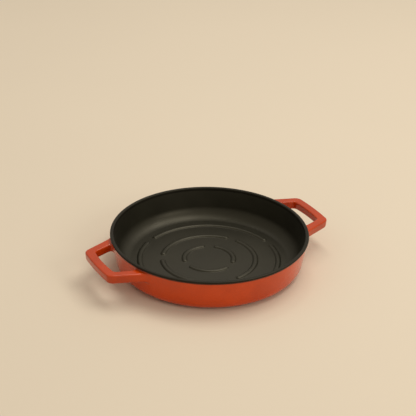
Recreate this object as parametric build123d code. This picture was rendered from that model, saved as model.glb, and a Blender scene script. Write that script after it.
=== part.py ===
from build123d import *
from math import cos, degrees, radians, tan
import os

# Round, shallow, enamelled cast-iron pan with two loop handles. Millimetres, +Z up.
# The origin is the middle of the flat pad that the pan stands on. The handles lie along X.
# The iron is one casting, kept here as a body, two handles and nine floor ridges.
# Each coat of fired enamel is a thin shell of its own over that iron.

# Pan body, measured over the enamel
RIM_RADIUS = 130.0        # outside of the lip
HEIGHT = 47.0             # hob to the top of the lip
WALL_DRAFT = 9.185        # degrees that the wall leans outwards
LIP_PROUD = 1.0           # lip past the wall's line, at the top of the lip
LIP_WIDTH = 4.5           # top of the lip, outside to inside
LIP_HEIGHT = 3.6          # depth of the bead that stands proud of the wall
LIP_CHAMFER = 0.9         # both top edges of the lip
BEAD_CHAMFER = 0.5        # lower edge of the bead
BOTTOM_ROUND = 13.5       # outside, wall into underside
WALL = 4.4                # wall thickness
FLOOR = 5.6               # hob to the cooking face
COVE = 18.0               # inside, wall into floor
PAD_INSET = 21.4          # flat pad that meets the hob, in from the wall's line
PAD_STEP = 0.8            # underside clear of the hob outside the pad
PAD_ROUND = 0.7

# Enamel
COAT = 0.4                # thickness of every coat
RIM_BAND = 3.8            # how far the dark rim coat runs down both sides of the lip
PAD_MARGIN = 1.6          # how far the underside coat runs out past the pad

# Loop handles, measured over the enamel
HANDLE_STAND_OFF = 35.0   # outermost point of a handle, past the lip
HANDLE_DROP = 5.4         # top face, below the top of the lip
HANDLE_THICKNESS = 12.4
HANDLE_TIP_WIDTH = 72.4   # across the outline, at the outer end
ARM_SPLAY = 20.3          # degrees that each arm leans out towards the wall
BAR_WIDTH = 12.2          # outer bar, seen from above
ARM_WIDTH = 10.6          # each arm, seen from above, at the outer end
ARM_SWELL = 2.9           # degrees by which an arm widens towards the wall
BAR_BOW = 2.0             # how far the outer bar bulges past a straight line
OUTER_CORNER = 10.0
HOLE_CORNER = 4.6
ROOT_FLARE = 14.0         # outside of each arm, into the wall
ROOT_DEPTH = 1.2          # how far the root flares run below the wall's surface
HANDLE_DRAFT = 5.0        # degrees that the sides lean in towards the underside
TOP_EDGE = 2.0            # rounding along the top edges
UNDER_EDGE = 3.8          # rounding along the underside edges

# Raised, round-topped ridges on the cooking face, in three broken rings
RIDGE_INSETS = {"inner": 67.35, "middle": 38.35, "outer": 8.35}   # in from the cove's edge
RIDGE_TURNS = {"inner": 60.0, "middle": 30.0, "outer": 0.0}   # degrees to a ring's first gap
RIDGES_PER_RING = 3
RIDGE_WIDTH = 7.6
RIDGE_HEIGHT = 1.8
RIDGE_GAP = 11.5          # clear of each other, end to end

LEFT_TURN = 180.0         # the left handle is the right one turned about the pan's axis
PARTS = "parts"


def wall_radius(z):
    """Outside radius of the wall's line at height z."""
    return RIM_RADIUS - LIP_PROUD - (HEIGHT - z) * tan(radians(WALL_DRAFT))


def pad_radius():
    """Radius of the flat pad."""
    return wall_radius(0) - PAD_INSET


def inside_corner():
    """Radius at which the inside of the wall would meet the cooking face."""
    return wall_radius(FLOOR) - WALL / cos(radians(WALL_DRAFT))


def handle_top():
    """Height of the handles' top face."""
    return HEIGHT - HANDLE_DROP


def handle_reach():
    """Pan's axis to the outermost point of a handle's outline."""
    return RIM_RADIUS + HANDLE_STAND_OFF


def outer_points():
    """Half section of the outside, hob to lip, with what is done to each corner."""
    bead_foot = HEIGHT - LIP_HEIGHT
    bead_depth = RIM_RADIUS - wall_radius(bead_foot)
    return [
        ((0, 0), None, 0),
        ((pad_radius(), 0), fillet, PAD_ROUND),
        ((pad_radius() + PAD_STEP, PAD_STEP), fillet, PAD_ROUND),
        ((wall_radius(PAD_STEP), PAD_STEP), fillet, BOTTOM_ROUND),
        ((wall_radius(bead_foot), bead_foot), None, 0),
        ((RIM_RADIUS, bead_foot + bead_depth), chamfer, BEAD_CHAMFER),
        ((RIM_RADIUS, HEIGHT), chamfer, LIP_CHAMFER),
    ]


def inner_points():
    """Half section of the inside, lip to the middle of the floor."""
    return [
        ((RIM_RADIUS - LIP_WIDTH, HEIGHT), chamfer, LIP_CHAMFER),
        ((inside_corner(), FLOOR), fillet, COVE),
        ((0, FLOOR), None, 0),
    ]


def half_section(points):
    """Closed face between an outline and the pan's axis, with its corners softened."""
    face = make_face(Polyline([place for place, _, _ in points], close=True))
    for place, soften, size in points:
        if soften:
            face = soften(face.vertices().sort_by_distance(place)[0], size)
    return face


def turned(section):
    """Solid of revolution of a half section about the pan's axis."""
    return revolve(Plane.XZ * section, Axis.Z)


def box_section(r_low, r_high, z_low, z_high):
    """Rectangle in the half section, used to divide the enamel into its coats."""
    size = Rectangle(r_high - r_low, z_high - z_low)
    return Pos((r_low + r_high) / 2, (z_low + z_high) / 2) * size


def right_half(section):
    """The side of a full section where the radius is positive."""
    return section & box_section(0, RIM_RADIUS * 2, -HEIGHT, HEIGHT * 2)


def iron_section(enamelled):
    """The same half section with one coat taken off all round, but not at the axis."""
    whole = enamelled + mirror(enamelled, Plane.YZ)
    return right_half(offset(whole, -COAT, kind=Kind.INTERSECTION))


def coat_sections(skin):
    """The skin of enamel divided into its four coats, as half sections."""
    rim = skin & box_section(0, RIM_RADIUS * 2, HEIGHT - RIM_BAND, HEIGHT * 2)
    pad = skin & box_section(0, pad_radius() + PAD_MARGIN, -COAT, PAD_STEP + COAT * 2)
    rest = (skin - rim - pad).faces()
    inside, outside = rest.sort_by(lambda face: face.bounding_box().min.X)
    return {
        "black_inside_enamel": inside,
        "rim_enamel": rim,
        "underside_enamel": pad,
        "red_outside_enamel": outside,
    }


def loop_outline(reach, half_tip, lean):
    """Plan outline from deep inside the wall to a bowed outer end, the same both sides of X."""
    start = root_radius() / 2
    corner = reach - BAR_BOW
    half_start = half_tip + (corner - start) * tan(radians(lean))
    edges = [
        Line((start, -half_start), (corner, -half_tip)),
        ThreePointArc((corner, -half_tip), (reach, 0), (corner, half_tip)),
        Line((corner, half_tip), (start, half_start)),
        Line((start, half_start), (start, -half_start)),
    ]
    return make_face(edges)


def root_radius():
    """Radius inside the wall from which a handle's plan outlines start."""
    return wall_radius(handle_top() - HANDLE_THICKNESS) - ROOT_DEPTH


def outer_plan():
    """Outside of a handle, flared where each arm meets the wall."""
    outline = loop_outline(handle_reach(), HANDLE_TIP_WIDTH / 2, ARM_SPLAY)
    tips = outline.vertices().group_by(Axis.X)[-1]
    plan = fillet(tips, OUTER_CORNER) + Circle(root_radius())
    roots = [v for v in plan.vertices() if abs(Vector(v).length - root_radius()) < COAT]
    return fillet(roots, ROOT_FLARE)


def hole_plan():
    """Finger hole, bounded by the bar, the two arms and a line just under the wall."""
    lean = ARM_SPLAY - ARM_SWELL
    reach = handle_reach() - BAR_WIDTH
    outer_half = HANDLE_TIP_WIDTH / 2 + BAR_WIDTH * tan(radians(ARM_SPLAY))
    half_tip = outer_half - ARM_WIDTH / cos(radians(ARM_SPLAY))
    hole = loop_outline(reach, half_tip, lean) - Circle(root_radius())
    return fillet(hole.vertices(), HOLE_CORNER)


def handle_block(inset):
    """Right handle, sunk into the wall, with inset taken off every surface."""
    top = Pos(0, 0, handle_top() - inset)
    thickness = HANDLE_THICKNESS - 2 * inset
    outside = extrude(top * offset(outer_plan(), -inset), -thickness, taper=HANDLE_DRAFT)
    hole = extrude(top * offset(hole_plan(), inset), -thickness, taper=-HANDLE_DRAFT)
    block = outside - hole
    block = fillet(block.faces().sort_by(Axis.Z)[-1].edges(), TOP_EDGE - inset)
    return fillet(block.faces().sort_by(Axis.Z)[0].edges(), UNDER_EDGE - inset)


def ridge_section():
    """Low round-topped section that rises from the iron floor through the enamel."""
    half = RIDGE_WIDTH / 2
    foot = FLOOR - COAT
    crest = ThreePointArc((half, FLOOR), (0, FLOOR + RIDGE_HEIGHT), (-half, FLOOR))
    sides = Polyline((-half, FLOOR), (-half, foot), (half, foot), (half, FLOOR))
    return make_face(crest.edges() + sides.edges())


def ridge(radius, start, finish):
    """One ridge along an arc between two angles, with a half dome past each end."""
    section = ridge_section()
    half = section & (Pos(RIDGE_WIDTH / 4, FLOOR) * Rectangle(RIDGE_WIDTH / 2, FLOOR * 2))
    dome = revolve(Plane.XZ * half, Axis.Z, 180)
    run = revolve(Plane.XZ * Pos(radius, 0) * section, Axis.Z, finish - start)
    first_end = Pos(radius, 0, 0) * Rot(0, 0, 180) * dome
    last_end = Rot(0, 0, finish - start) * Pos(radius, 0, 0) * dome
    return Rot(0, 0, start) * (run + first_end + last_end)


def ridges():
    """Every floor ridge by name. Each ring's gaps are turned from the next ring's."""
    pieces = {}
    pitch = 360 / RIDGES_PER_RING
    for ring, inset in RIDGE_INSETS.items():
        radius = inside_corner() - COVE - inset
        pull_back = degrees((RIDGE_GAP + RIDGE_WIDTH) / 2 / radius)
        for number in range(RIDGES_PER_RING):
            gap = RIDGE_TURNS[ring] + number * pitch
            name = f"{ring}_ridge_{number + 1}"
            pieces[name] = ridge(radius, gap + pull_back, gap + pitch - pull_back)
    return pieces


def build():
    """Every piece of the pan by name."""
    section = half_section(outer_points() + inner_points())
    iron = iron_section(section)
    filled = half_section(outer_points() + [((0, HEIGHT), None, 0)])
    pan_space = turned(filled)
    iron_space = turned(iron_section(filled))
    handle = handle_block(0)
    core = handle_block(COAT)
    left = Rot(0, 0, LEFT_TURN)
    pieces = {"pan_casting": turned(iron)}
    pieces["right_handle_casting"] = core - iron_space
    pieces["left_handle_casting"] = left * (core - iron_space)
    pieces.update(ridges())
    raised = [piece for name, piece in pieces.items() if "ridge" in name]
    coats = {name: turned(face) for name, face in coat_sections(section - iron).items()}
    coats["black_inside_enamel"] -= raised
    coats["red_outside_enamel"] -= [core, left * core]
    pieces.update(coats)
    handle_coat = handle - core - pan_space
    pieces["right_handle_enamel"] = handle_coat
    pieces["left_handle_enamel"] = left * handle_coat
    return pieces


os.makedirs(PARTS, exist_ok=True)
for name, piece in build().items():
    export_step(piece, f"{PARTS}/{name}.step")
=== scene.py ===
from math import atan2, ceil, cos, hypot, pi, radians, sin, sqrt, tan

import bmesh
import bpy
from bpy.props import FloatProperty, FloatVectorProperty, IntProperty, PointerProperty
from mathutils import Matrix, Quaternion, Vector


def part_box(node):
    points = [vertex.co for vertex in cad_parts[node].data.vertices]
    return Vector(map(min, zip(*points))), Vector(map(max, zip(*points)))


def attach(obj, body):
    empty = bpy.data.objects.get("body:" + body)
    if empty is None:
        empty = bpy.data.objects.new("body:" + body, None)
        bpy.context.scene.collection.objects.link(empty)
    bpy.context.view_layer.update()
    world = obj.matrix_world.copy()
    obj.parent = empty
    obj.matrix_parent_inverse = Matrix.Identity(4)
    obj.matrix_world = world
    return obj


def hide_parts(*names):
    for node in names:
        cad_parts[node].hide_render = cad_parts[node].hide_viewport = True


bl_info = {
    "name": "Enamelled Iron Pan",
    "version": (1, 0, 0),
    "blender": (4, 5, 0),
    "location": "3D View > Sidebar > Iron Pan",
    "description": "Builds the enamel, handles, floor ridges and studio of a two-handled iron pan",
    "category": "Object",
}

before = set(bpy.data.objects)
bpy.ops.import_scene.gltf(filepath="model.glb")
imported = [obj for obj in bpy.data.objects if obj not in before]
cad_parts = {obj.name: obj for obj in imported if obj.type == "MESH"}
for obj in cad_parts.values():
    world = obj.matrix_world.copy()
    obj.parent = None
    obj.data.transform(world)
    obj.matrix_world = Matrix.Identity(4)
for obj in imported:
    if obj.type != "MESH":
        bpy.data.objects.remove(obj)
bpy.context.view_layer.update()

MM = 0.001
BODY = "root"
PREFIX = "pan_"

# Heights and radii that the enamel and the ridges share with the frame.
rim_low, rim_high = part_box("rim_enamel")
loop_low, loop_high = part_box("right_handle_enamel")
COAT = rim_high.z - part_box("pan_casting")[1].z
COOKING_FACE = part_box("black_inside_enamel")[0].z + COAT
RIDGE_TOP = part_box("outer_ridge_1")[1].z
PAD_COAT_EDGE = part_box("underside_enamel")[1].x
BAND = rim_low.z

# Mesh steps: plain rings across the flats, as shares of their radius, and steps along curves.
PLAIN_RINGS = (0.25, 0.5, 0.75, 0.97)
EDGE_STEPS = 7
ROOT_STEPS = 14
CORNER_STEPS = 14
BAR_STEPS = 12
DOME_STEPS = 18
RIDGE_STEP = 1.5 * MM

# The end of a ridge's foot is this far below the cooking face.
TOE_SUNK = 0.02 * MM

# A handle's root starts this far under the wall's surface and is shaped over this length.
ROOT_SUNK = COAT * 0.6
ROOT_LENGTH = 11 * MM

# Enamel: its gloss, where painted shade darkens the handles' red past the wall, and where
# painted shade darkens the wall's red in a band just under the lip's bead.
GLAZE_IOR = 1.5
HANDLE_SHADE_FROM = 131 * MM
HANDLE_SHADE_OVER = 16 * MM
UNDER_LIP_SHADE_FROM = BAND - 0.9 * MM
UNDER_LIP_SHADE_OVER = 1.2 * MM


# ---------------------------------------------------------------- sizes and colours


class PanSizes(bpy.types.PropertyGroup):
    """Sizes of the pan's body and lip, over the enamel."""

    rim_radius: FloatProperty(
        name="Rim radius", description="Outside of the lip", unit="LENGTH", default=rim_high.x)
    height: FloatProperty(
        name="Height", description="Hob to the top of the lip", unit="LENGTH", default=rim_high.z)
    base_radius: FloatProperty(
        name="Base radius", description="Wall line carried down to the hob", unit="LENGTH",
        default=121.4 * MM)
    shoulder_radius: FloatProperty(
        name="Shoulder radius", description="Wall line carried up to the lip's top",
        unit="LENGTH", default=129.0 * MM)
    lip_width: FloatProperty(
        name="Lip width", description="Top of the lip, outside to inside", unit="LENGTH",
        default=4.5 * MM)
    lip_depth: FloatProperty(
        name="Lip depth", description="Depth of the bead below the lip's top", unit="LENGTH",
        default=3.6 * MM)
    lip_round: FloatProperty(
        name="Lip rounding", description="Both top edges of the lip", unit="LENGTH",
        default=1.4 * MM)
    bead_round: FloatProperty(
        name="Bead rounding", description="Both corners under the bead", unit="LENGTH",
        default=1.0 * MM)
    wall: FloatProperty(
        name="Wall", description="Thickness of the wall", unit="LENGTH", default=4.4 * MM)
    cove: FloatProperty(
        name="Cove", description="Radius inside, from wall to floor", unit="LENGTH",
        default=18.0 * MM)
    bottom_round: FloatProperty(
        name="Bottom rounding", description="Radius outside, from wall to underside",
        unit="LENGTH", default=13.5 * MM)
    pad_radius: FloatProperty(
        name="Pad radius", description="Flat pad that meets the hob", unit="LENGTH",
        default=100.0 * MM)
    pad_step: FloatProperty(
        name="Pad step", description="Height of the pad's edge", unit="LENGTH", default=0.8 * MM)
    pad_round: FloatProperty(
        name="Pad rounding", description="Both corners of the pad's edge", unit="LENGTH",
        default=0.7 * MM)
    segments: IntProperty(
        name="Segments", description="Steps round the pan", default=288, min=32)


class LoopSizes(bpy.types.PropertyGroup):
    """Sizes of the two loop handles, over the enamel."""

    reach: FloatProperty(
        name="Reach", description="Pan's axis to the outermost point of the top outline",
        unit="LENGTH", default=165.0 * MM)
    top: FloatProperty(
        name="Top", description="Hob to the top face", unit="LENGTH", default=loop_high.z)
    thickness: FloatProperty(
        name="Thickness", description="Top face to underside", unit="LENGTH",
        default=loop_high.z - loop_low.z)
    tip_width: FloatProperty(
        name="Tip width", description="Across the outline at the outer end", unit="LENGTH",
        default=72.4 * MM)
    splay: FloatProperty(
        name="Splay", description="Lean of each arm's outside towards the wall",
        subtype="ANGLE", unit="ROTATION", default=radians(20.3))
    swell: FloatProperty(
        name="Swell", description="Angle by which an arm widens towards the wall",
        subtype="ANGLE", unit="ROTATION", default=radians(2.9))
    bar_width: FloatProperty(
        name="Bar width", description="Outer bar, from above", unit="LENGTH",
        default=12.2 * MM)
    arm_width: FloatProperty(
        name="Arm width", description="Each arm at the outer end, from above", unit="LENGTH",
        default=11.8 * MM)
    bow: FloatProperty(
        name="Bow", description="Bulge of the outer bar past a straight line", unit="LENGTH",
        default=2.0 * MM)
    outer_corner: FloatProperty(
        name="Outer corner", description="Radius of the outline's corners", unit="LENGTH",
        default=10.0 * MM)
    hole_corner: FloatProperty(
        name="Hole corner", description="Radius of the finger hole's corners", unit="LENGTH",
        default=6.2 * MM)
    draft: FloatProperty(
        name="Draft", description="Lean of the sides in towards the underside",
        subtype="ANGLE", unit="ROTATION", default=radians(5.0))
    top_edge: FloatProperty(
        name="Top edge", description="Rounding along the top edges", unit="LENGTH",
        default=2.0 * MM)
    under_edge: FloatProperty(
        name="Under edge", description="Rounding along the underside edges", unit="LENGTH",
        default=3.8 * MM)


class RidgeSizes(bpy.types.PropertyGroup):
    """Sizes of the raised ridges on the floor."""

    width: FloatProperty(
        name="Width", description="Across a ridge at the floor", unit="LENGTH",
        default=7.6 * MM)
    crown: FloatProperty(
        name="Crown", description="Radius of the rounded top", unit="LENGTH", default=3.2 * MM)
    foot: FloatProperty(
        name="Foot", description="Radius from a ridge's side into the floor", unit="LENGTH",
        default=0.9 * MM)
    gap: FloatProperty(
        name="Gap", description="Clear of the next ridge, end to end", unit="LENGTH",
        default=11.5 * MM)
    inner_radius: FloatProperty(
        name="Inner ring", description="Middle of the inner ring's ridges", unit="LENGTH",
        default=32.5 * MM)
    middle_radius: FloatProperty(
        name="Middle ring", description="Middle of the middle ring's ridges", unit="LENGTH",
        default=61.5 * MM)
    outer_radius: FloatProperty(
        name="Outer ring", description="Middle of the outer ring's ridges", unit="LENGTH",
        default=91.5 * MM)
    inner_turn: FloatProperty(
        name="Inner turn", description="Way round to the inner ring's first gap",
        subtype="ANGLE", unit="ROTATION", default=radians(60))
    middle_turn: FloatProperty(
        name="Middle turn", description="Way round to the middle ring's first gap",
        subtype="ANGLE", unit="ROTATION", default=radians(30))
    outer_turn: FloatProperty(
        name="Outer turn", description="Way round to the outer ring's first gap",
        subtype="ANGLE", unit="ROTATION", default=0.0)
    per_ring: IntProperty(
        name="Ridges", description="Ridges in each ring", default=3, min=1)


class Finishes(bpy.types.PropertyGroup):
    """Colours of the enamel and the studio."""

    red: FloatVectorProperty(
        name="Red enamel", description="Main colour of the outside enamel", subtype="COLOR",
        size=3, default=(0.60, 0.057, 0.003), min=0, max=1)
    # Darker red: the enamel's random cloudy tone, and painted shade on the handles past the wall.
    red_deep_and_shade: FloatVectorProperty(
        name="Deep red enamel", description="Where the outside enamel is thick or shaded",
        subtype="COLOR", size=3, default=(0.34, 0.028, 0.002), min=0, max=1)
    speck: FloatVectorProperty(
        name="Red speck", description="Fine dark specks in the outside enamel", subtype="COLOR",
        size=3, default=(0.10, 0.012, 0.006), min=0, max=1)
    # Painted shade: the colour of the dark band just under the lip's bead.
    under_lip_shade: FloatVectorProperty(
        name="Burnt edge", description="Outside enamel where it thins under the lip",
        subtype="COLOR", size=3, default=(0.09, 0.018, 0.010), min=0, max=1)
    scuff: FloatVectorProperty(
        name="Scuff", description="Wear on the pad that meets the hob", subtype="COLOR",
        size=3, default=(0.10, 0.030, 0.018), min=0, max=1)
    black: FloatVectorProperty(
        name="Black enamel", description="Inside enamel", subtype="COLOR", size=3,
        default=(0.0058, 0.0054, 0.0026), min=0, max=1)
    grey_speck: FloatVectorProperty(
        name="Grey speck", description="Fine pale specks in the inside enamel",
        subtype="COLOR", size=3, default=(0.09, 0.085, 0.07), min=0, max=1)
    lip: FloatVectorProperty(
        name="Lip enamel", description="Enamel over the lip", subtype="COLOR", size=3,
        default=(0.0085, 0.0072, 0.0045), min=0, max=1)
    iron: FloatVectorProperty(
        name="Iron", description="Cast iron under the enamel", subtype="COLOR", size=3,
        default=(0.060, 0.056, 0.052), min=0, max=1)
    floor: FloatVectorProperty(
        name="Studio floor", description="Plain pale floor", subtype="COLOR", size=3,
        default=(0.70, 0.605, 0.475), min=0, max=1)


class StageSettings(bpy.types.PropertyGroup):
    """Camera and light."""

    azimuth: FloatProperty(
        name="Azimuth", description="Camera's way round the pan from the front",
        subtype="ANGLE", unit="ROTATION", default=radians(-29.83))
    elevation: FloatProperty(
        name="Elevation", description="Camera above the floor", subtype="ANGLE",
        unit="ROTATION", default=radians(27.68))
    distance: FloatProperty(
        name="Distance", description="Camera to the point it looks at", unit="LENGTH",
        default=1.7388)
    aim_ahead: FloatProperty(
        name="Aim ahead", description="Point looked at, past the pan's middle", unit="LENGTH",
        default=0.1543)
    aim_right: FloatProperty(
        name="Aim right", description="Point looked at, right of the pan's middle",
        unit="LENGTH", default=-0.0027)
    roll: FloatProperty(
        name="Roll", description="Camera turned about its own line of sight",
        subtype="ANGLE", unit="ROTATION", default=radians(1.21))
    lens: FloatProperty(
        name="Lens", description="Focal length in millimetres", default=104.6)
    sensor: FloatProperty(
        name="Sensor", description="Width of the sensor in millimetres", default=36.0)
    view_depth: FloatProperty(
        name="View depth", description="Furthest that the camera sees", unit="LENGTH",
        default=50.0)
    floor_half: FloatProperty(
        name="Floor half", description="Middle of the floor to its edge", unit="LENGTH",
        default=6.0)
    floor_gap: FloatProperty(
        name="Floor gap", description="Floor below the pan's pad", unit="LENGTH",
        default=0.1 * MM)
    air_strength: FloatProperty(
        name="Air strength", description="Light from all round", default=0.52)
    air_tint: FloatVectorProperty(
        name="Air tint", description="Colour of the light from all round", subtype="COLOR",
        size=3, default=(1.0, 0.93, 0.82), min=0, max=1)


# ---------------------------------------------------------------- mesh helpers


def chain(bm, points):
    """Open run of edges in the XZ plane through points given as (across, up)."""
    verts = [bm.verts.new((across, 0, up)) for across, up in points]
    for start, end in zip(verts, verts[1:]):
        bm.edges.new((start, end))
    return verts


def round_corner(bm, corner, radius, segments):
    """Replaces one corner of a run of edges by an arc."""
    arms = [edge.other_vert(corner).co - corner.co for edge in corner.link_edges]
    offset = radius / tan(arms[0].angle(arms[1]) / 2)
    bmesh.ops.bevel(
        bm, geom=[corner], offset=offset, offset_type="OFFSET", affect="VERTICES",
        segments=segments, profile=0.5, material=-1)


def spin_about(bm, centre, angle, steps):
    """Spins every vertex and edge in the mesh about an upright axis."""
    full = abs(angle - 2 * pi) < 1e-6
    bmesh.ops.spin(
        bm, geom=bm.verts[:] + bm.edges[:], cent=centre, axis=(0, 0, 1), angle=angle,
        steps=steps, use_merge=full, use_duplicate=False)


def close_up(bm, distance=1e-6):
    """Merges doubles and turns every face outwards."""
    bmesh.ops.remove_doubles(bm, verts=bm.verts[:], dist=distance)
    bmesh.ops.recalc_face_normals(bm, faces=bm.faces[:])


def as_object(bm, name, material, *nodes, slot=None):
    """Writes the mesh to an object that rides on the pan and stands for CAD nodes."""
    mesh = bpy.data.meshes.new(PREFIX + name)
    for face in bm.faces:
        face.smooth = True
    bm.to_mesh(mesh)
    bm.free()
    piece = bpy.data.objects.new(PREFIX + name, mesh)
    bpy.context.scene.collection.objects.link(piece)
    mesh.materials.append(material)
    even = piece.modifiers.new("Even shading", "WEIGHTED_NORMAL")
    even.weight = 60
    even.keep_sharp = True
    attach(piece, BODY)
    if nodes:
        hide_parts(*nodes)
    return piece


# ---------------------------------------------------------------- pan body


def wall_radius(sizes, height):
    """Outside radius of the wall at a height."""
    slope = (sizes.shoulder_radius - sizes.base_radius) / sizes.height
    return sizes.base_radius + slope * height


def body_profile(bm, sizes):
    """Outside and inside of the pan as one run of edges, hob to cooking face."""
    bead_foot = sizes.height - sizes.lip_depth
    foot_radius = wall_radius(sizes, bead_foot)
    slope = (sizes.shoulder_radius - sizes.base_radius) / sizes.height
    lip_inside = sizes.rim_radius - sizes.lip_width
    floor_corner = wall_radius(sizes, COOKING_FACE) - sizes.wall * sqrt(1 + slope * slope)
    lean_in = (lip_inside - floor_corner) / (sizes.height - COOKING_FACE)
    # Across, up, rounding and steps round it, from the axis out and back again.
    points = [(0, 0, 0, 0)]
    points += [(sizes.pad_radius * ring, 0, 0, 0) for ring in PLAIN_RINGS]
    points += [
        (sizes.pad_radius, 0, sizes.pad_round, 4),
        (sizes.pad_radius + sizes.pad_step, sizes.pad_step, sizes.pad_round, 4),
        (PAD_COAT_EDGE, sizes.pad_step, 0, 0),
        (wall_radius(sizes, sizes.pad_step), sizes.pad_step, sizes.bottom_round, 16),
        (wall_radius(sizes, BAND / 2), BAND / 2, 0, 0),
        (wall_radius(sizes, BAND), BAND, 0, 0),
        (foot_radius, bead_foot, sizes.bead_round, 4),
        (sizes.rim_radius, bead_foot + sizes.rim_radius - foot_radius, sizes.bead_round, 5),
        (sizes.rim_radius, sizes.height, sizes.lip_round, EDGE_STEPS),
        (lip_inside, sizes.height, sizes.lip_round, EDGE_STEPS),
        (lip_inside - lean_in * (sizes.height - BAND), BAND, 0, 0),
        (lip_inside - lean_in * (sizes.height - BAND / 2), BAND / 2, 0, 0),
        (floor_corner, COOKING_FACE, sizes.cove, 26),
    ]
    flat = floor_corner - sizes.cove
    points += [(flat * ring, COOKING_FACE, 0, 0) for ring in reversed(PLAIN_RINGS)]
    points.append((0, COOKING_FACE, 0, 0))
    verts = chain(bm, [(across, up) for across, up, _, _ in points])
    for vert, (_, _, radius, segments) in zip(verts, points):
        if radius:
            round_corner(bm, vert, radius, segments)


def coat(sizes, keeps):
    """One coat: the part of the pan's surface that a rule keeps, thickened inwards."""
    bm = bmesh.new()
    body_profile(bm, sizes)
    spin_about(bm, (0, 0, 0), 2 * pi, sizes.segments)
    close_up(bm)
    lost = [face for face in bm.faces if not keeps(sizes, face)]
    bmesh.ops.delete(bm, geom=lost, context="FACES")
    bmesh.ops.solidify(bm, geom=bm.faces[:], thickness=COAT)
    bmesh.ops.recalc_face_normals(bm, faces=bm.faces[:])
    return bm


def on_lip(sizes, face):
    """True for a face of the dark coat over the lip."""
    return face.calc_center_median().z > BAND


def on_underside(sizes, face):
    """True for a face of the coat on the pad that meets the hob."""
    place = face.calc_center_median()
    return place.z < sizes.pad_step + COAT and hypot(place.x, place.y) < PAD_COAT_EDGE


def looks_out(face):
    """True for a face that looks more away from the pan's axis than up."""
    place = face.calc_center_median()
    outwards = Vector((place.x, place.y, 0)).normalized()
    return face.normal.dot(outwards) > face.normal.z


def on_outside(sizes, face):
    """True for a face of the red coat on the wall."""
    return looks_out(face) and not on_lip(sizes, face) and not on_underside(sizes, face)


def on_inside(sizes, face):
    """True for a face of the black coat on the floor and the inner wall."""
    return not looks_out(face) and not on_lip(sizes, face)


# ---------------------------------------------------------------- loop handles


class HalfOutline:
    """One side of a loop's plan outline: a straight arm, a round corner and half a bar."""

    def __init__(self, reach, half_tip, lean, bow, corner):
        # The corner's centre is one radius in from the arm, slid along it until it is
        # also one radius in from the bowed bar.
        self.slope = tan(lean)
        self.tip = Vector((reach - bow, half_tip))
        self.bar_radius = (half_tip ** 2 + bow ** 2) / (2 * bow)
        self.bar_centre = Vector((reach - self.bar_radius, 0))
        along = Vector((-cos(lean), sin(lean)))
        inward = Vector((-sin(lean), -cos(lean)))
        start = self.tip + inward * corner - self.bar_centre
        reach_in = self.bar_radius - corner
        ahead = start.dot(along)
        slide = -ahead - sqrt(ahead ** 2 - start.length_squared + reach_in ** 2)
        self.corner = corner
        self.centre = self.tip + inward * corner + along * slide
        self.first = atan2(-inward.y, -inward.x)
        to_bar = self.centre - self.bar_centre
        self.last = atan2(to_bar.y, to_bar.x)

    def arm_at(self, across):
        """Height of the arm's straight line above the pan's X axis."""
        return self.tip.y + (self.tip.x - across) * self.slope

    def round_at(self, share):
        """Point round the corner, from the arm at 0 to the bar at 1."""
        angle = self.first + (self.last - self.first) * share
        return self.centre + Vector((cos(angle), sin(angle))) * self.corner

    def bar_at(self, share):
        """Point along the bowed bar, from the corner at 0 to the middle at 1."""
        angle = self.last * (1 - share)
        return self.bar_centre + Vector((cos(angle), sin(angle))) * self.bar_radius


def loop_outlines(loop):
    """Half outlines of a handle's outside and of its finger hole."""
    half_tip = loop.tip_width / 2
    outer = HalfOutline(loop.reach, half_tip, loop.splay, loop.bow, loop.outer_corner)
    at_hole = half_tip + loop.bar_width * tan(loop.splay)
    hole = HalfOutline(
        loop.reach - loop.bar_width, at_hole - loop.arm_width / cos(loop.splay),
        loop.splay - loop.swell, loop.bow, loop.hole_corner)
    return outer, hole


def loop_section(bm, loop):
    """Section across a bar as one face, with its place kept on each vertex.

    Layer "side" is the distance from the nearer edge: negative from the outer one, positive
    from the hole's. Layer "depth" is the distance below the top face.
    """
    half = loop.bar_width / 2
    lean = loop.thickness * tan(loop.draft)
    corners = [
        (-half, 0), (half, 0), (half - lean, loop.thickness), (lean - half, loop.thickness)]
    verts = [bm.verts.new((across, 0, -depth)) for across, depth in corners]
    bm.faces.new(verts)
    for vert, radius in zip(verts, [loop.top_edge] * 2 + [loop.under_edge] * 2):
        round_corner(bm, vert, radius, EDGE_STEPS)
    flats = [edge for edge in bm.edges if edge.calc_length() > loop.top_edge]
    bmesh.ops.subdivide_edges(bm, edges=flats, cuts=3)
    side = bm.verts.layers.float.new("side")
    depth = bm.verts.layers.float.new("depth")
    for vert in bm.verts:
        outer = vert.co.x > 0
        vert[side] = vert.co.x - half if outer else vert.co.x + half
        vert[depth] = -vert.co.z
    bm.faces.ensure_lookup_table()
    return bm.faces[0], side, depth


def flare(distance, spread, reach):
    """Sideways growth of a root this far from the wall: a quarter of an ellipse."""
    near = min(1.0, max(0.0, (reach - distance) / reach))
    return spread * (1 - sqrt(1 - near * near))


class Root:
    """How far the blend on each side of an arm spreads along the wall and reaches off it."""

    outside = (7.0 * MM, 5.5 * MM)
    hole = (8.6 * MM, 7.2 * MM)
    above = (1.5 * MM, 2.6 * MM)
    below = (4.5 * MM, 5.0 * MM)


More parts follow.
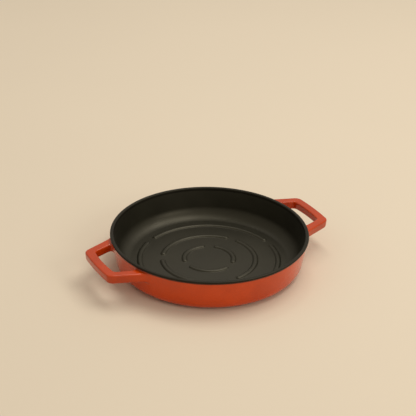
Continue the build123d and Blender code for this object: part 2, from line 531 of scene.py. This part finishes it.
def near_wall(sizes, loop, outlines, side, depth, distance):
    """Place of a section vertex on its own straight line, a distance off the wall.

    The vertex goes where its line crosses a circle round the pan, and is then moved along
    the wall and up or down it by the root's flares.
    """
    outer, hole = outlines
    height = loop.top - depth
    if side < 0:
        line, shift = outer, side / cos(loop.splay)
    else:
        line, shift = hole, side / cos(loop.splay - loop.swell)
    radius = wall_radius(sizes, height) + distance
    slope = -line.slope
    rise = line.arm_at(0) + shift
    middle = -slope * rise / (1 + slope * slope)
    spread = sqrt((1 + slope * slope) * radius ** 2 - rise * rise) / (1 + slope * slope)
    across = middle + spread
    angle = atan2(rise + slope * across, across)
    share = side / loop.bar_width + (1 if side < 0 else 0)
    along = flare(distance, *Root.outside) * share - flare(distance, *Root.hole) * (1 - share)
    drop = depth / loop.thickness
    up = flare(distance, *Root.above) * (1 - drop) - flare(distance, *Root.below) * drop
    angle += along / radius
    radius = wall_radius(sizes, height + up) + distance
    return Vector((radius * cos(angle), radius * sin(angle), height + up))


def across_bar(loop, start, end, side, depth):
    """Place of a section vertex between a point on the hole and one on the outside."""
    line = (end - start).normalized()
    plan = end + line * side if side < 0 else start + line * side
    return Vector((plan.x, plan.y, loop.top - depth))


def loop_stations(sizes, loop):
    """Rules that place a section vertex, from inside the wall to the middle of the bar."""
    outlines = loop_outlines(loop)
    outer, hole = outlines
    off_wall = [-ROOT_SUNK]
    off_wall += [ROOT_LENGTH * (step / ROOT_STEPS) ** 2 for step in range(ROOT_STEPS + 1)]
    stations = [
        lambda side, depth, off=off: near_wall(sizes, loop, outlines, side, depth, off)
        for off in off_wall]
    spans = [("round_at", step / CORNER_STEPS) for step in range(CORNER_STEPS + 1)]
    spans += [("bar_at", step / BAR_STEPS) for step in range(1, BAR_STEPS + 1)]
    for curve, share in spans:
        start, end = getattr(hole, curve)(share), getattr(outer, curve)(share)
        stations.append(
            lambda side, depth, start=start, end=end: across_bar(loop, start, end, side, depth))
    return stations


def loop_handle(sizes, loop):
    """The right handle: its section carried through the stations, then mirrored.

    Each step leaves the face it started from inside the bar, so that face is taken away.
    The first one stays, as the cap under the wall's surface.
    """
    bm = bmesh.new()
    face, side, depth = loop_section(bm, loop)
    root = face
    for number, place in enumerate(loop_stations(sizes, loop)):
        if number:
            passed = face
            grown = bmesh.ops.extrude_face_region(bm, geom=[passed])["geom"]
            face = next(item for item in grown if isinstance(item, bmesh.types.BMFace))
            if passed is not root:
                bmesh.ops.delete(bm, geom=[passed], context="FACES_ONLY")
        for vert in face.verts:
            vert.co = place(vert[side], vert[depth])
    bmesh.ops.delete(bm, geom=[face], context="FACES_ONLY")
    bmesh.ops.mirror(
        bm, geom=bm.verts[:] + bm.edges[:] + bm.faces[:], matrix=Matrix.Identity(4),
        merge_dist=1e-5, axis="Y")
    close_up(bm, 1e-5)
    return bm


# ---------------------------------------------------------------- ridges


def ridge_profile(bm, ridge, radius, full):
    """Section of a ridge at a radius: half of it, or both sides as a closed run.

    Its sides rise at 45 degrees, and it is sunk into the coat it stands on.
    """
    crest = RIDGE_TOP - COOKING_FACE
    sunk = COOKING_FACE - COAT / 2
    toe = ridge.width / 2
    shoulder = toe - crest
    out = toe + ridge.foot
    points = [
        (0, RIDGE_TOP, 0), (shoulder, RIDGE_TOP, ridge.crown),
        (toe, COOKING_FACE, ridge.foot), (out, COOKING_FACE - TOE_SUNK, 0),
        (out, sunk, 0), (0, sunk, 0)]
    if full:
        points += [(-across, up, turn) for across, up, turn in reversed(points[1:-1])]
    verts = chain(bm, [(radius + across, up) for across, up, _ in points])
    if full:
        bm.edges.new((verts[-1], verts[0]))
    for vert, (_, _, turn) in zip(verts, points):
        if turn:
            round_corner(bm, vert, turn, EDGE_STEPS)


def ridge_piece(ridge, radius, start, finish):
    """One ridge along an arc, closed by half a dome past each end."""
    bm = bmesh.new()
    run = bmesh.new()
    ridge_profile(run, ridge, radius, full=True)
    steps = ceil((finish - start) * radius / RIDGE_STEP)
    bmesh.ops.rotate(run, verts=run.verts[:], matrix=Matrix.Rotation(start, 3, "Z"))
    spin_about(run, (0, 0, 0), finish - start, steps)
    add_mesh(bm, run)
    for angle, turn in ((start, -pi), (finish, pi)):
        dome = bmesh.new()
        ridge_profile(dome, ridge, radius, full=False)
        spin_about(dome, (radius, 0, 0), turn, DOME_STEPS)
        bmesh.ops.rotate(dome, verts=dome.verts[:], matrix=Matrix.Rotation(angle, 3, "Z"))
        add_mesh(bm, dome)
    close_up(bm, 5e-6)
    return bm


def add_mesh(bm, other):
    """Copies another bmesh into this one and frees it."""
    mesh = bpy.data.meshes.new("part")
    other.to_mesh(mesh)
    other.free()
    bm.from_mesh(mesh)
    bpy.data.meshes.remove(mesh)


# ---------------------------------------------------------------- materials


class Value:
    """An output socket that can be used in arithmetic. Each operation adds a Math node."""

    def __init__(self, paint, socket):
        self.paint = paint
        self.socket = socket

    def maths(self, operation, first, second):
        """A Math node on two values or numbers."""
        node = self.paint.node("ShaderNodeMath", {"operation": operation}, {0: first, 1: second})
        return node.out(0)

    def __add__(self, other):
        return self.maths("ADD", self, other)

    def __sub__(self, other):
        return self.maths("SUBTRACT", self, other)

    def __mul__(self, other):
        return self.maths("MULTIPLY", self, other)

    def __truediv__(self, other):
        return self.maths("DIVIDE", self, other)

    def __rsub__(self, other):
        return self.maths("SUBTRACT", other, self)

    def __rtruediv__(self, other):
        return self.maths("DIVIDE", other, self)

    __radd__ = __add__
    __rmul__ = __mul__


class Placed:
    """A node already in a tree, with its outputs as values."""

    def __init__(self, paint, node):
        self.paint = paint
        self.node = node

    def out(self, key):
        """One output, by its name or number."""
        return Value(self.paint, self.node.outputs[key])


class Paint:
    """One material, with the single method that adds every node to it."""

    def __init__(self, name):
        self.material = bpy.data.materials.new(name)
        self.material.use_nodes = True
        self.tree = self.material.node_tree
        self.tree.nodes.clear()
        self.place = self.node("ShaderNodeTexCoord").out("Object")

    def node(self, kind, settings=None, inputs=None, stops=()):
        """Adds a node: its settings first, then a ramp's stops, then its sockets."""
        made = self.tree.nodes.new(kind)
        for name, setting in (settings or {}).items():
            setattr(made, name, setting)
        if stops:
            for element, (position, shade) in zip(made.color_ramp.elements, stops):
                element.position = position
                element.color = (shade, shade, shade, 1.0)
        for key, given in (inputs or {}).items():
            if isinstance(given, Value):
                self.tree.links.new(given.socket, made.inputs[key])
            else:
                made.inputs[key].default_value = given
        return Placed(self, made)

    def noise(self, size, detail=2.0, roughness=0.5):
        """Noise between 0 and 1 whose features are about this size in metres."""
        return self.node(
            "ShaderNodeTexNoise", {"noise_dimensions": "3D"},
            {"Vector": self.place, "Scale": 1 / size, "Detail": detail,
             "Roughness": roughness}).out("Fac")

    def specks(self, size, share):
        """Round specks, 1 at their middle, one in each cell of this size."""
        cells = self.node(
            "ShaderNodeTexVoronoi", {"feature": "F1", "distance": "EUCLIDEAN"},
            {"Vector": self.place, "Scale": 1 / size, "Randomness": 1.0}).out("Distance")
        return self.ramp(cells, ((0.0, 1.0), (share, 0.0)))

    def ramp(self, value, stops):
        """Two stops, each a value and the shade it gives, with a straight change between."""
        return self.node("ShaderNodeValToRGB", {}, {"Fac": value}, stops).out("Color")

    def rise(self, value, low=0.0, high=1.0):
        """0 up to the low value and 1 from the high one."""
        return self.ramp(value, ((low, 0.0), (high, 1.0)))

    def mix(self, share, first, second):
        """Mixes two colours."""
        made = self.node("ShaderNodeMix", {"data_type": "RGBA"}, {0: share})
        for socket, given in ((made.node.inputs[6], first), (made.node.inputs[7], second)):
            if isinstance(given, Value):
                self.tree.links.new(given.socket, socket)
            else:
                socket.default_value = (*given, 1.0)
        return made.out(2)

    def height(self):
        """Height above the hob, in metres."""
        return self.node("ShaderNodeSeparateXYZ", {}, {0: self.place}).out("Z")

    def distance(self):
        """Distance from the middle of the pad, in metres."""
        return self.node(
            "ShaderNodeVectorMath", {"operation": "LENGTH"}, {0: self.place}).out("Value")

    def bump(self, height, distance, before=None):
        """Small relief of this height in metres, over any relief before it."""
        inputs = {"Height": height, "Distance": distance, "Strength": 1.0}
        if before:
            inputs["Normal"] = before
        return self.node("ShaderNodeBump", {}, inputs).out("Normal")

    def surface(self, **sockets):
        """Ends the material in one Principled shader."""
        named = {key.replace("_", " "): given for key, given in sockets.items()}
        shader = self.node("ShaderNodeBsdfPrincipled", {}, named)
        self.node("ShaderNodeOutputMaterial", {}, {"Surface": shader.out("BSDF")})
        return self.material


def red_enamel(colours, name="red_enamel", handle_shade=0.0, worn=False):
    """Glossy orange-red glaze: cloudy depth, fine specks and orange peel.

    Painted shade darkens the red in a band just under the lip, and on the handles past the wall.
    """
    paint = Paint(name)
    cloud = paint.rise(paint.noise(38 * MM, 3.0), 0.35, 0.68)
    grain = paint.rise(paint.noise(2.2 * MM), 0.35, 0.65)
    # Painted shade: the handles' red darkens past the wall, by the share given for them.
    painted_shade_past_wall = paint.rise((paint.distance() - HANDLE_SHADE_FROM) / HANDLE_SHADE_OVER)
    share = cloud * 0.35 + grain * 0.12 + painted_shade_past_wall * handle_shade
    colour = paint.mix(share, tuple(colours.red), tuple(colours.red_deep_and_shade))
    specks = paint.specks(2.6 * MM, 0.085) * 0.55
    colour = paint.mix(specks, colour, tuple(colours.speck))
    # Painted shade: a dark band with a wandering edge on the red just under the lip's bead.
    wander = paint.noise(9 * MM) * (1.1 * MM)
    under_lip_shade = paint.rise((paint.height() + wander - UNDER_LIP_SHADE_FROM) / UNDER_LIP_SHADE_OVER)
    colour = paint.mix(under_lip_shade * 0.8, colour, tuple(colours.under_lip_shade))
    roughness = 0.17 + cloud * 0.06 + grain * 0.04
    if worn:
        scuffs = paint.rise(paint.noise(6 * MM, 6.0, 0.7), 0.45, 0.72)
        colour = paint.mix(scuffs * 0.5, colour, tuple(colours.scuff))
        roughness = roughness + scuffs * 0.25
    relief = paint.bump(paint.noise(16 * MM, 1.0), 0.12 * MM)
    relief = paint.bump(paint.noise(2.8 * MM), 0.014 * MM, relief)
    return paint.surface(
        Base_Color=colour, Roughness=roughness, IOR=GLAZE_IOR, Specular_IOR_Level=0.32,
        Specular_Tint=(1.0, 0.82, 0.66, 1.0), Coat_Weight=0.3, Coat_Roughness=0.05,
        Normal=relief)


def black_enamel(colours, name="black_enamel", tint=None, sheen=0.5):
    """Satin black glaze with a fine pebbled surface and faint cooking marks."""
    paint = Paint(name)
    base = tuple(tint or colours.black)
    cloud = paint.rise(paint.noise(45 * MM, 4.0), 0.35, 0.7)
    pebble = paint.noise(0.9 * MM)
    lighter = tuple(min(1.0, channel * 1.9) for channel in base)
    colour = paint.mix(cloud * 0.45, base, lighter)
    pale = paint.specks(1.7 * MM, 0.07) * 0.25
    colour = paint.mix(pale, colour, tuple(colours.grey_speck))
    roughness = 0.40 + cloud * 0.07 + pebble * 0.06
    relief = paint.bump(paint.noise(20 * MM), 0.10 * MM)
    relief = paint.bump(pebble, 0.030 * MM, relief)
    return paint.surface(
        Base_Color=colour, Roughness=roughness, IOR=GLAZE_IOR, Specular_IOR_Level=sheen,
        Specular_Tint=(1.0, 0.92, 0.70, 1.0), Normal=relief)


def cast_iron(colours):
    """Grey iron as it leaves the sand: dull, dark and grainy."""
    paint = Paint("cast_iron")
    grain = paint.noise(0.8 * MM, 4.0, 0.6)
    cloud = paint.rise(paint.noise(30 * MM, 3.0), 0.3, 0.7)
    dark = tuple(channel * 0.55 for channel in colours.iron)
    colour = paint.mix(cloud * 0.6 + grain * 0.3, tuple(colours.iron), dark)
    return paint.surface(
        Base_Color=colour, Metallic=0.6, Roughness=0.55 + grain * 0.25,
        Normal=paint.bump(grain, 0.08 * MM))


def studio_floor(colours):
    """Plain pale seamless floor with a trace of mottling."""
    paint = Paint("studio_floor")
    cloud = paint.noise(0.35)
    lighter = tuple(min(1.0, channel * 1.03) for channel in colours.floor)
    colour = paint.mix(cloud, tuple(colours.floor), lighter)
    return paint.surface(Base_Color=colour, Roughness=0.75, Specular_IOR_Level=0.25)


# ---------------------------------------------------------------- operators


class PAN_OT_iron(bpy.types.Operator):
    """Give the cast-iron body and handle cores their bare iron"""

    bl_idname = "pan.iron"
    bl_label = "Cast Iron"

    def execute(self, context):
        iron = cast_iron(context.scene.pan_finishes)
        for name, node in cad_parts.items():
            if name.endswith("_casting"):
                node.data.materials.clear()
                node.data.materials.append(iron)
        return {"FINISHED"}


class PAN_OT_inside(bpy.types.Operator):
    """Lay the satin black enamel on the floor and the inner wall"""

    bl_idname = "pan.inside"
    bl_label = "Inside Enamel"

    def execute(self, context):
        scene = context.scene
        black = black_enamel(scene.pan_finishes)
        bm = coat(scene.pan_sizes, on_inside)
        as_object(bm, "inside_coat", black, "black_inside_enamel", slot="black_enamel")
        return {"FINISHED"}


class PAN_OT_lip(bpy.types.Operator):
    """Lay the dark enamel over the lip"""

    bl_idname = "pan.lip"
    bl_label = "Lip Enamel"

    def execute(self, context):
        scene = context.scene
        dark = black_enamel(
            scene.pan_finishes, "lip_enamel", scene.pan_finishes.lip, sheen=0.22)
        bm = coat(scene.pan_sizes, on_lip)
        as_object(bm, "lip_coat", dark, "rim_enamel", slot="rim_enamel")
        return {"FINISHED"}


class PAN_OT_outside(bpy.types.Operator):
    """Lay the orange-red enamel on the outside of the wall"""

    bl_idname = "pan.outside"
    bl_label = "Outside Enamel"

    def execute(self, context):
        scene = context.scene
        red = red_enamel(scene.pan_finishes)
        bm = coat(scene.pan_sizes, on_outside)
        as_object(bm, "outside_coat", red, "red_outside_enamel", slot="red_enamel")
        return {"FINISHED"}


class PAN_OT_underside(bpy.types.Operator):
    """Lay the worn enamel on the pad that meets the hob"""

    bl_idname = "pan.underside"
    bl_label = "Underside Enamel"

    def execute(self, context):
        scene = context.scene
        red = red_enamel(scene.pan_finishes, "underside_enamel", worn=True)
        bm = coat(scene.pan_sizes, on_underside)
        as_object(bm, "underside_coat", red, "underside_enamel", slot="underside_enamel")
        return {"FINISHED"}


class PAN_OT_handles(bpy.types.Operator):
    """Make the two loop handles with their blends into the wall"""

    bl_idname = "pan.handles"
    bl_label = "Loop Handles"

    def execute(self, context):
        scene = context.scene
        # The handles' red takes painted shade past the wall.
        red = red_enamel(scene.pan_finishes, "handle_enamel", handle_shade=0.38)
        for name, turn in (("right", 0), ("left", pi)):
            bm = loop_handle(scene.pan_sizes, scene.pan_loops)
            bmesh.ops.rotate(bm, verts=bm.verts[:], matrix=Matrix.Rotation(turn, 3, "Z"))
            as_object(bm, f"{name}_loop", red, f"{name}_handle_enamel", slot="red_enamel")
        return {"FINISHED"}


class PAN_OT_ridges(bpy.types.Operator):
    """Raise the broken rings of ridges on the cooking face"""

    bl_idname = "pan.ridges"
    bl_label = "Floor Ridges"

    def execute(self, context):
        scene = context.scene
        ridge = scene.pan_ridges
        black = black_enamel(scene.pan_finishes, "ridge_enamel")
        pitch = 2 * pi / ridge.per_ring
        for ring in ("inner", "middle", "outer"):
            radius = getattr(ridge, f"{ring}_radius")
            pull = (ridge.gap + ridge.width) / 2 / radius
            for number in range(ridge.per_ring):
                gap = getattr(ridge, f"{ring}_turn") + number * pitch
                bm = ridge_piece(ridge, radius, gap + pull, gap + pitch - pull)
                node = f"{ring}_ridge_{number + 1}"
                as_object(bm, f"{node}_crest", black, node, slot="black_ridge")
        return {"FINISHED"}


# Name, side and distance from the pan in metres, degrees round from the camera, degrees up,
# power in watts and colour.
SOFTBOXES = (
    ("key_softbox", 1.7, 2.6, 118, 68, 34.0, (1.0, 0.97, 0.91)),
    ("edge_softbox", 0.4, 2.4, 185, 60, 4.0, (1.0, 0.97, 0.93)),
    ("front_softbox", 0.9, 2.6, 50, 30, 12.0, (1.0, 0.95, 0.88)),
)


class PAN_OT_stage(bpy.types.Operator):
    """Set up the floor, the soft lights and the camera"""

    bl_idname = "pan.stage"
    bl_label = "Studio"

    def execute(self, context):
        scene = context.scene
        self.make_floor(scene)
        self.make_lights(scene)
        self.make_camera(scene)
        scene.view_settings.view_transform = "Standard"
        return {"FINISHED"}

    def make_floor(self, scene):
        """The plain pale floor, just under the pad."""
        stage = scene.pan_stage
        bm = bmesh.new()
        bmesh.ops.create_grid(bm, x_segments=8, y_segments=8, size=stage.floor_half)
        bmesh.ops.translate(bm, verts=bm.verts[:], vec=(0, 0, -stage.floor_gap))
        mesh = bpy.data.meshes.new("studio_floor")
        bm.to_mesh(mesh)
        bm.free()
        mesh.materials.append(studio_floor(scene.pan_finishes))
        floor = bpy.data.objects.new("studio_floor", mesh)
        scene.collection.objects.link(floor)

    def make_lights(self, scene):
        """Light from all round and three softboxes that face the pan."""
        stage = scene.pan_stage
        world = bpy.data.worlds.new("studio_air")
        world.use_nodes = True
        air = world.node_tree.nodes["Background"]
        air.inputs["Color"].default_value = (*stage.air_tint, 1.0)
        air.inputs["Strength"].default_value = stage.air_strength
        scene.world = world
        for name, size, far, turn, elevation, power, colour in SOFTBOXES:
            light = bpy.data.lights.new(name, "AREA")
            light.shape = "SQUARE"
            light.size = size
            light.energy = power
            light.color = colour
            lamp = bpy.data.objects.new(name, light)
            around = stage.azimuth + radians(turn)
            up = radians(elevation)
            out = Vector((sin(around) * cos(up), -cos(around) * cos(up), sin(up)))
            lamp.location = out * far
            lamp.rotation_euler = out.to_track_quat("Z", "Y").to_euler()
            scene.collection.objects.link(lamp)

    def make_camera(self, scene):
        """The camera, turned round the point it looks at."""
        stage = scene.pan_stage
        camera = bpy.data.cameras.new("camera")
        camera.lens = stage.lens
        camera.sensor_width = stage.sensor
        camera.clip_end = stage.view_depth
        ahead = Vector((-sin(stage.azimuth), cos(stage.azimuth), 0))
        right = Vector((cos(stage.azimuth), sin(stage.azimuth), 0))
        aim = ahead * stage.aim_ahead + right * stage.aim_right
        back = Vector((0, 0, 1)) * sin(stage.elevation) - ahead * cos(stage.elevation)
        eye = bpy.data.objects.new("camera", camera)
        eye.location = aim + back * stage.distance
        eye.rotation_mode = "QUATERNION"
        eye.rotation_quaternion = (
            back.to_track_quat("Z", "Y") @ Quaternion((0, 0, 1), stage.roll))
        scene.collection.objects.link(eye)
        scene.camera = eye


class PAN_PT_sidebar(bpy.types.Panel):
    """Buttons and sizes for the pan"""

    bl_idname = "PAN_PT_sidebar"
    bl_label = "Iron Pan"
    bl_space_type = "VIEW_3D"
    bl_region_type = "UI"
    bl_category = "Iron Pan"

    def draw(self, context):
        for step in STEPS:
            self.layout.operator(step.bl_idname)
        for name, kind in GROUPS.items():
            box = self.layout.box()
            for setting in kind.__annotations__:
                box.prop(getattr(context.scene, name), setting)


GROUPS = {
    "pan_sizes": PanSizes,
    "pan_loops": LoopSizes,
    "pan_ridges": RidgeSizes,
    "pan_finishes": Finishes,
    "pan_stage": StageSettings,
}
STEPS = (
    PAN_OT_iron, PAN_OT_inside, PAN_OT_lip, PAN_OT_outside, PAN_OT_underside,
    PAN_OT_handles, PAN_OT_ridges, PAN_OT_stage,
)


def register():
    for kind in (*GROUPS.values(), *STEPS, PAN_PT_sidebar):
        bpy.utils.register_class(kind)
    for name, kind in GROUPS.items():
        setattr(bpy.types.Scene, name, PointerProperty(type=kind))


def unregister():
    for name in GROUPS:
        delattr(bpy.types.Scene, name)
    for kind in reversed((*GROUPS.values(), *STEPS, PAN_PT_sidebar)):
        bpy.utils.unregister_class(kind)


def main():
    """Registers the add-on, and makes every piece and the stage."""
    register()
    for step in STEPS:
        group, name = step.bl_idname.split(".")
        getattr(getattr(bpy.ops, group), name)()


if __name__ == "__main__":
    main()
